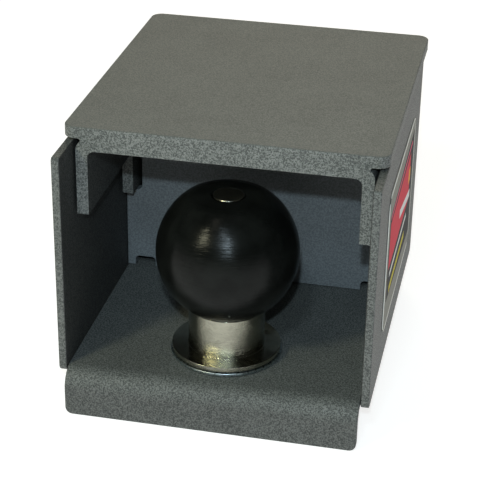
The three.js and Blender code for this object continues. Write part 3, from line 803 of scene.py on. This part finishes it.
class HitchFloor(bpy.types.Operator):
    """Builds the floor plate with its two bent lips and the hole for the post."""
    bl_idname = "hitch.floor"
    bl_label = "Floor plate"

    def execute(self, context):
        sizes = context.scene.hitch_plates
        low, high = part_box("floor_plate")
        under = high.z - FLOOR_THICKNESS
        front, rear = low.y + FLOOR_THICKNESS, high.y - FLOOR_THICKNESS
        plate = block("floor_panel", (low.x, low.y, under), high)
        for y in (front, rear):
            open_edit(plate, "FACE")
            bpy.ops.mesh.select_all(action="SELECT")
            bpy.ops.mesh.bisect(plane_co=(0, y, 0), plane_no=(0, 1, 0))
            close_edit()
        mesh = open_edit(plate, "FACE")
        for face in mesh.faces:
            middle = face.calc_center_median()
            face.select_set(face.normal.z < -0.9 and (middle.y < front or middle.y > rear))
        bmesh.update_edit_mesh(plate.data)
        bpy.ops.mesh.extrude_region_move(TRANSFORM_OT_translate={"value": (0, 0, low.z - under)})
        bpy.ops.mesh.select_all(action="SELECT")
        bpy.ops.mesh.dissolve_limited(angle_limit=COPLANAR)
        close_edit()

        def bend(radius, z, ends):
            round_edges(plate, radius, lambda a, b: both(a, b, "z", z)
                        and any(both(a, b, "y", y) for y in ends), BEND_STEPS)
        bend(sizes.lip_bend + FLOOR_THICKNESS, high.z, (low.y, high.y))
        bend(sizes.lip_bend, under, (front, rear))
        round_edges(plate, sizes.lip_corner, lambda a, b: near(a.x, b.x) and both(a, b, "z", low.z))
        cut(plate, [pin(FLOOR_HOLE_RADIUS, under - CUT_PAST, high.z + CUT_PAST)])
        soften(plate, sizes.edge)
        dress(plate, "floor coat", "box", "floor_plate")
        return finished()


class HitchBackPlates(bpy.types.Operator):
    """Builds the slotted back plate and the rear plate that holds the lock."""
    bl_idname = "hitch.back_plates"
    bl_label = "Back and rear plates"

    def execute(self, context):
        sizes = context.scene.hitch_plates
        low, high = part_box("back_plate")
        channel_low, channel_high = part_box("lid_channel")
        wall = -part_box("left_side_plate")[1].x
        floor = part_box("floor_plate")[1].z
        plate = block("back_panel", low, high)
        slot_low = channel_low.z - SLOT_FOOT_ROOM
        slot_high = channel_low.z + TONGUE_HEIGHT + SLOT_ROOM
        slot_start = channel_high.x - CHANNEL_THICKNESS - SLOT_ROOM
        drain_end = wall - DRAIN_TO_WALL
        openings = []
        slot_corners = [sizes.slot_corner] * 4
        drain_corners = [0, 0, sizes.drain_corner, sizes.drain_corner]
        for side in (-1, 1):
            left, right = sorted((side * slot_start, side * (wall + SLOT_PAST_WALL)))
            openings.append(rounded_rectangle((left, slot_low), (right, slot_high), slot_corners))
            left, right = sorted((side * drain_end, side * (drain_end - DRAIN_WIDTH)))
            openings.append(rounded_rectangle((left, floor - CUT_PAST), (right, floor + DRAIN_HEIGHT),
                                              drain_corners))
        cut(plate, [drawn_out("opening", outline, low.y - CUT_PAST, high.y + CUT_PAST)
                    for outline in openings])
        soften(plate, sizes.edge * 0.8)
        dress(plate, "smooth coat", "box", "back_plate")

        low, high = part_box("rear_plate")
        plate = block("rear_panel", low, high)
        hole = pin(BARREL_HOLE_RADIUS, low.y - CUT_PAST, high.y + CUT_PAST, lock_axis(), upright=False)
        cut(plate, [hole])
        soften(plate, sizes.edge)
        dress(plate, "textured coat", "box", "rear_plate")
        return finished()


# ---------- the lid ----------
class HitchLid(bpy.types.Operator):
    """Builds the lid's top plate and its bent channel with the two tongues."""
    bl_idname = "hitch.lid"
    bl_label = "Lid"

    def execute(self, context):
        sizes = context.scene.hitch_plates
        low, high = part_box("lid_top_plate")
        top = block("lid_panel", low, high)
        round_edges(top, sizes.lid_corner, lambda a, b: near(a.x, b.x) and near(a.y, b.y), 10)
        soften(top, sizes.lid_edge, keep=lambda a, b: both(a, b, "z", low.z), segments=4)
        dress(top, "lid coat", "lid", "lid_top_plate")

        seat = low.z
        inner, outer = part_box("lid_channel")
        front, rear, half = inner.y, outer.y, outer.x
        leg = half - CHANNEL_THICKNESS
        web_under = outer.z - CHANNEL_THICKNESS
        leg_bottom = inner.z + TONGUE_HEIGHT
        bend, inner_bend, weld = sizes.channel_bend, sizes.channel_inner_bend, half - sizes.weld_inset
        right = ([(leg, inner.z), (half, inner.z)]
                 + arc((half - bend, outer.z - bend), bend, 0, BARE_BEND, 8)
                 + [(weld - WELD_BEVEL, seat - WELD_BEVEL), (weld, seat)])
        left = [(-x, z) for x, z in reversed(right)]
        inside_left = arc((inner_bend - leg, web_under - inner_bend), inner_bend, 180, 90, 8)
        inside_right = arc((leg - inner_bend, web_under - inner_bend), inner_bend, 90, 0, 8)
        channel = drawn_out("lid_channel_welded", right + left + inside_left + inside_right, front, rear)

        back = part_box("back_plate")[0].y
        cam_low, cam_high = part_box("lock_cam")
        wide, deep = half + CUT_FAR, inner.z - CUT_FAR
        notch_top = lock_axis()[2] + CAM_HALF_WIDTH + CAM_NOTCH_ROOM
        cut(channel, [
            block("front cut", (-wide, front - CUT_FAR, deep), (wide, back - TONGUE_LEAD, leg_bottom)),
            block("rear cut", (-wide, back - STOP_GAP, leg_bottom), (wide, rear + CUT_FAR, web_under)),
            block("cam notch", (-wide, cam_low.y - CAM_NOTCH_ROOM, deep),
                  (MM - leg, cam_high.y + CAM_NOTCH_ROOM, notch_top)),
        ])
        round_edges(channel, TONGUE_CORNER, lambda a, b: both(a, b, "y", rear) and not near(a.x, b.x)
                    and (both(a, b, "z", inner.z) or both(a, b, "z", leg_bottom)), 6)
        soften(channel, sizes.edge, keep=lambda a, b: min(a.z, b.z) > seat - WELD_ZONE)
        dress(channel, "textured coat", "lid", "lid_channel")
        return finished()


# ---------- ball and post ----------
class HitchBall(bpy.types.Operator):
    """Builds the ball with its flat and its stepped bore."""
    bl_idname = "hitch.ball"
    bl_label = "Ball"

    def execute(self, context):
        spigot, bore = SPIGOT_RADIUS + FIT_ROOM, TIP_RADIUS + FIT_ROOM
        top = math.sqrt(BALL_RADIUS ** 2 - BALL_FLAT_RADIUS ** 2)
        bottom = NECK_TOP + FIT_ROOM
        step = bottom + SPIGOT_HEIGHT
        lowest = math.degrees(math.asin(bottom / BALL_RADIUS))
        shoulder = context.scene.hitch_ball_finish.shoulder
        rise = top - shoulder
        out = math.sqrt((BALL_RADIUS - shoulder) ** 2 - rise ** 2)
        touch = math.degrees(math.atan2(rise, out))
        outline = ([(spigot, bottom)] + arc((0, 0), BALL_RADIUS, lowest, touch, 64)
                   + arc((out, rise), shoulder, touch, 90, 16)[1:]
                   + [(bore + BORE_CHAMFER_WIDTH, top), (bore, top - BORE_CHAMFER_DEPTH),
                      (bore, step), (spigot, step), (spigot, bottom)])
        ball = turned("ball_shell", outline, steps=FINE_TURNS)
        even_shading(ball)
        dress(ball, "ball black", "box", "hitch_ball")
        return finished()


class HitchPost(bpy.types.Operator):
    """Builds the post: thread, flange, neck, spigot and turned end."""
    bl_idname = "hitch.post"
    bl_label = "Ball post"

    def execute(self, context):
        look = context.scene.hitch_ball_finish
        low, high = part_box("ball_post")
        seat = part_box("seat_washer")[1].z + SEAT_GAP
        flange_top = seat + FLANGE_THICKNESS
        spigot_top = NECK_TOP + SPIGOT_HEIGHT
        rings = int((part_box("floor_plate")[1].z - FLOOR_THICKNESS - low.z) / THREAD_PITCH)
        outline = [(0, low.z)]
        for i in range(rings):
            outline += [(SHANK_RADIUS - THREAD_DEPTH * depth, low.z + (i + along) * THREAD_PITCH)
                        for along, depth in THREAD_RING]
        outline += [(SHANK_RADIUS, low.z + rings * THREAD_PITCH + THREAD_DEPTH), (SHANK_RADIUS, seat)]
        corner, chamfer = look.flange_round, look.neck_chamfer
        outline += arc((FLANGE_RADIUS - corner, seat + corner), corner, 270, 360, 4)
        outline += arc((FLANGE_RADIUS - corner, flange_top - corner), corner, 0, 90, 4)
        outline += arc((NECK_RADIUS + NECK_FILLET, flange_top + NECK_FILLET), NECK_FILLET, 270, 180, 4)
        outline += [(NECK_RADIUS, NECK_TOP - chamfer), (NECK_RADIUS - chamfer, NECK_TOP),
                    (SPIGOT_RADIUS, NECK_TOP), (SPIGOT_RADIUS, spigot_top), (TIP_RADIUS, spigot_top),
                    (TIP_RADIUS, high.z - TIP_ROUND)]
        outline += arc((TIP_RADIUS - TIP_ROUND, high.z - TIP_ROUND), TIP_ROUND, 20, 70, 5)
        outline += [(TIP_RADIUS - TIP_FACE_INSET, high.z), (0, high.z)]
        post = turned("post_turned", outline, steps=FINE_TURNS)
        even_shading(post, POST_SMOOTH_BELOW)
        dress(post, "turned steel", "box", "ball_post")
        return finished()


class HitchFasteners(bpy.types.Operator):
    """Builds the seat washer, the split spring washer and the nut."""
    bl_idname = "hitch.fasteners"
    bl_label = "Washers and nut"

    def execute(self, context):
        bore = WASHER_BORE_RADIUS
        low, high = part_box("seat_washer")
        rim = high.x - WASHER_ROUND
        outline = ([(bore, low.z)] + arc((rim, low.z + WASHER_ROUND), WASHER_ROUND, 270, 360, 4)
                   + arc((rim, high.z - WASHER_ROUND), WASHER_ROUND, 0, 90, 4)
                   + [(bore, high.z), (bore, low.z)])
        washer = turned("seat_washer_plated", outline, steps=FINE_TURNS)
        even_shading(washer)
        dress(washer, "zinc plate", "box", "seat_washer")

        low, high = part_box("spring_washer")
        outline = [(bore, low.z), (high.x, low.z), (high.x, high.z), (bore, high.z), (bore, low.z)]
        spring = turned("spring_washer_split", outline)
        cut(spring, [block("gap", (0, -SPRING_GAP / 2, low.z - CUT_PAST),
                           (high.x + CUT_PAST, SPRING_GAP / 2, high.z + CUT_PAST))])
        soften(spring, SMALL_EDGE)
        dress(spring, "zinc plate", "box", "spring_washer")

        low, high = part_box("ball_nut")
        flats, corner = NUT_FLATS / 2, across_corners(NUT_FLATS) / 2
        rise = (corner - flats) / 2
        nut = hexagon("nut_hexagonal", NUT_FLATS, low.z, high.z)
        cone = turned("cone", [(0, low.z), (flats, low.z), (corner, low.z + rise),
                               (corner, high.z - rise), (flats, high.z), (0, high.z)])
        cut(nut, [cone], "INTERSECT")
        cut(nut, [pin(NUT_BORE_RADIUS, low.z - CUT_PAST, high.z + CUT_PAST)])
        soften(nut, NUT_ROUND, segments=2, angle=math.radians(20))
        dress(nut, "zinc plate", "box", "ball_nut")
        return finished()


# ---------- the lock ----------
def around_axis(name, half_width, half_height, front, rear):
    """A block centred on the lock's axis, from front to rear."""
    x, _, z = lock_axis()
    return block(name, (x - half_width, front, z - half_height), (x + half_width, rear, z + half_height))


class HitchLock(bpy.types.Operator):
    """Builds the cam lock's face, plug, nut and cam, and finishes its wafers, washer and screw."""
    bl_idname = "hitch.lock"
    bl_label = "Cam lock"

    def execute(self, context):
        axis = lock_axis()
        barrel_front = self.build_barrel(axis)
        self.build_plug(axis, barrel_front)

        low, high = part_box("lock_nut")
        nut = hexagon("lock_nut_hexagonal", LOCK_NUT_FLATS, low.y, high.y, axis, upright=False)
        cut(nut, [pin(LOCK_NUT_BORE_RADIUS, low.y - CUT_PAST, high.y + CUT_PAST, axis, upright=False)])
        soften(nut, SMALL_EDGE)
        dress(nut, "zinc plate", "box", "lock_nut")

        low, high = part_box("lock_cam")
        reach = CAM_HALF_WIDTH - CAM_ARM_ROUND
        arm_z = low.z + CAM_ARM_ROUND
        meet = math.degrees(math.acos(CAM_HALF_WIDTH / CAM_BOSS_RADIUS))
        outline = (arc((axis[0], axis[2]), CAM_BOSS_RADIUS, -meet, 180 + meet, 40)
                   + arc((axis[0] - reach, arm_z), CAM_ARM_ROUND, 180, 270, 5)
                   + arc((axis[0] + reach, arm_z), CAM_ARM_ROUND, 270, 360, 5))
        cam = drawn_out("cam_arm", outline, low.y, high.y)
        hole = STEM_HALF_WIDTH + FIT_ROOM
        cut(cam, [around_axis("square", hole, hole, low.y - CUT_PAST, high.y + CUT_PAST)])
        soften(cam, SMALL_EDGE)
        dress(cam, "zinc plate", "lock", "lock_cam")
        for node in ("cam_washer", "cam_screw"):
            dress_node(node, "zinc plate")
        return finished()

    def build_barrel(self, axis):
        """The fixed barrel with its round face and two flats. Returns where it starts along Y."""
        low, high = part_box("lock_body")
        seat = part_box("rear_plate")[1].y + SEAT_GAP
        face = LOCK_FACE_RADIUS - LOCK_FACE_ROUND
        ledge = high.y - PLUG_SEAT_DEPTH
        outline = [(PLUG_BORE_RADIUS, low.y), (BARREL_RADIUS - BARREL_CHAMFER, low.y),
                   (BARREL_RADIUS, low.y + BARREL_CHAMFER), (BARREL_RADIUS, seat), (LOCK_FACE_RADIUS, seat)]
        outline += arc((face, high.y - LOCK_FACE_ROUND), LOCK_FACE_ROUND, 0, 90, 6)
        outline += [(PLUG_SEAT_RADIUS + PLUG_SEAT_CHAMFER, high.y),
                    (PLUG_SEAT_RADIUS, high.y - PLUG_SEAT_CHAMFER), (PLUG_SEAT_RADIUS, ledge),
                    (PLUG_BORE_RADIUS, ledge), (PLUG_BORE_RADIUS, low.y)]
        barrel = turned("lock_barrel", outline, axis, upright=False, steps=LOCK_TURNS)
        flats = []
        for side in (-1, 1):
            left, right = sorted((side * BARREL_HALF_FLATS, side * (BARREL_HALF_FLATS + CUT_FAR)))
            flats.append(block("flat", (axis[0] + left, low.y - CUT_PAST, axis[2] - LOCK_FACE_RADIUS),
                               (axis[0] + right, seat - BARREL_FLAT_STOP, axis[2] + LOCK_FACE_RADIUS)))
        cut(barrel, flats)
        even_shading(barrel)
        dress(barrel, "turned steel", "box", "lock_body")
        return low.y

    def build_plug(self, axis, start):
        """The turning plug with its square stem, keyway, wafer slots and screw hole."""
        low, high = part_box("lock_plug")
        rim = high.y - PLUG_RIM_HEIGHT
        dish = high.y - PLUG_DISH_DEPTH
        outline = [(0, start), (PLUG_RADIUS, start), (PLUG_RADIUS, rim), (PLUG_RIM_RADIUS, rim)]
        outline += arc((PLUG_RIM_RADIUS - PLUG_RIM_ROUND, high.y - PLUG_RIM_ROUND), PLUG_RIM_ROUND, 0, 90, 4)
        outline += [(PLUG_DISH_RADIUS, high.y), (PLUG_DISH_FLOOR_RADIUS, dish), (0, dish)]
        plug = turned("plug_brass", outline, axis, upright=False, steps=LOCK_TURNS)
        cut(plug, [around_axis("stem", STEM_HALF_WIDTH, STEM_HALF_WIDTH, low.y, start + MM)], "UNION")
        cutters = [around_axis("keyway", KEYWAY_HALF_WIDTH, KEYWAY_HALF_HEIGHT, high.y - KEYWAY_DEPTH,
                               high.y + CUT_PAST)]
        room = Vector((FIT_ROOM, FIT_ROOM, WAFER_SLOT_EXTRA))
        for i in range(WAFER_COUNT):
            wafer_low, wafer_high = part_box(f"lock_wafer_{i + 1}")
            cutters.append(block("wafer slot", wafer_low - room, wafer_high + room))
            dress_node(f"lock_wafer_{i + 1}", "brass")
        screw_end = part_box("cam_screw")[1].y + FIT_ROOM
        cutters.append(pin(SCREW_HOLE_RADIUS, low.y - CUT_PAST, screw_end, axis, upright=False))
        cut(plug, cutters)
        even_shading(plug)
        dress(plug, "brass", "lock", "lock_plug")


# ---------- label ----------
class HitchLabel(bpy.types.Operator):
    """Builds the printed film on the right side plate."""
    bl_idname = "hitch.label"
    bl_label = "Side label"

    def execute(self, context):
        low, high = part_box("side_label")
        label = block("label_film", low, high)
        round_edges(label, LABEL_CORNER, lambda a, b: near(a.y, b.y) and near(a.z, b.z))
        soften(label, LABEL_EDGE, segments=1)
        dress(label, label_print("label print", low, high), "box", "side_label")
        return finished()


# ---------- stage ----------
def lamp(name, place, target, shape, size, power, tone):
    """An area lamp of that width and height, turned to its target. A disk has only a width."""
    light = bpy.data.lights.new(name, "AREA")
    light.shape = shape
    light.size = size[0]
    light.size_y = size[-1]
    light.energy = power
    light.color = tone
    holder = bpy.data.objects.new(name, light)
    bpy.context.scene.collection.objects.link(holder)
    holder.location = place
    holder.rotation_euler = (Vector(target) - Vector(place)).to_track_quat("-Z", "Y").to_euler()


def towards(azimuth, elevation):
    """The direction of that azimuth and elevation, in radians, from the part."""
    level = math.cos(elevation)
    return Vector((math.sin(azimuth) * level, -math.cos(azimuth) * level, math.sin(elevation)))


class HitchStageSet(bpy.types.Operator):
    """Sets the camera, the lamps, the room's light and the pale floor."""
    bl_idname = "hitch.stage"
    bl_label = "Stage"

    def execute(self, context):
        stage, scene = context.scene.hitch_stage, context.scene
        back = towards(stage.azimuth, stage.elevation)
        side = Vector((math.cos(stage.azimuth), math.sin(stage.azimuth), 0))
        right = side * math.cos(stage.roll) + back.cross(side) * math.sin(stage.roll)
        camera = bpy.data.objects.new("camera", bpy.data.cameras.new("camera"))
        scene.collection.objects.link(camera)
        camera.data.sensor_width = 36.0
        camera.data.lens = stage.lens
        turn = Matrix((right, back.cross(right), back)).transposed().to_4x4()
        camera.matrix_world = Matrix.Translation(stage.place) @ turn
        scene.camera = camera

        for name, azimuth, elevation, distance, width in LAMPS:
            place = towards(math.radians(azimuth), math.radians(elevation)) * distance
            lamp(name + " lamp", place, (0, 0, 0), "DISK", (width,), getattr(stage, name + "_power"),
                 getattr(stage, name + "_tone"))
        for name, place, target, size in PANELS:
            lamp(name + " panel", place, target, "RECTANGLE", size, getattr(stage, name + "_power"),
                 getattr(stage, name + "_tone"))

        world = bpy.data.worlds.new("room")
        scene.world = world
        world.use_nodes = True
        sky = world.node_tree.nodes["Background"]
        sky.inputs["Color"].default_value = (*stage.sky_tone, 1.0)
        sky.inputs["Strength"].default_value = stage.sky
        scene.view_settings.view_transform = "Standard"

        floor_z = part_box("floor_plate")[0].z
        start_fresh()
        bpy.ops.mesh.primitive_plane_add(size=GROUND_SPAN, location=(0, 0, floor_z))
        floor = named("pale_floor")
        paper = Finish("pale paper", Roughness=0.9, Emission_Color=(1.0, 1.0, 1.0, 1.0),
                       Emission_Strength=stage.floor_glow)
        tooth = paper.noise(paper.place(), PAPER_TOOTH, detail=2.0)
        paper.show("Base Color", paper.blend(tooth, *PAPER_TONES))
        floor.data.materials.append(paper.material)
        return finished()


class HitchPanel(bpy.types.Panel):
    """Lists the steps in the order in which they are run."""
    bl_idname = "VIEW3D_PT_hitch"
    bl_label = "Hitch ball lock box"
    bl_space_type = "VIEW_3D"
    bl_region_type = "UI"
    bl_category = "Hitch"

    def draw(self, context):
        layout = self.layout
        for name, title in (("hitch_plates", "Plates"), ("hitch_paint", "Paint"),
                            ("hitch_ball_finish", "Ball and post"), ("hitch_stage", "Stage")):
            group = getattr(context.scene, name)
            box = layout.box()
            box.label(text=title)
            for key in group.bl_rna.properties.keys():
                if key not in ("name", "rna_type"):
                    box.prop(group, key)
        for step in STEPS:
            layout.operator(step.bl_idname)


STEPS = (HitchSidePlates, HitchFloor, HitchBackPlates, HitchLid, HitchBall, HitchPost, HitchFasteners,
         HitchLock, HitchLabel, HitchStageSet)
GROUPS = {"hitch_plates": HitchPlateSizes, "hitch_paint": HitchPaint,
          "hitch_ball_finish": HitchBallFinish, "hitch_stage": HitchStage}
CLASSES = (*GROUPS.values(), *STEPS, HitchPanel)


def register():
    for kind in CLASSES:
        bpy.utils.register_class(kind)
    for name, group in GROUPS.items():
        setattr(bpy.types.Scene, name, bpy.props.PointerProperty(type=group))


def unregister():
    for name in GROUPS:
        delattr(bpy.types.Scene, name)
    for kind in reversed(CLASSES):
        bpy.utils.unregister_class(kind)


def main():
    register()
    for step in STEPS:
        group, call = step.bl_idname.split(".")
        getattr(getattr(bpy.ops, group), call)()


if __name__ == "__main__":
    main()
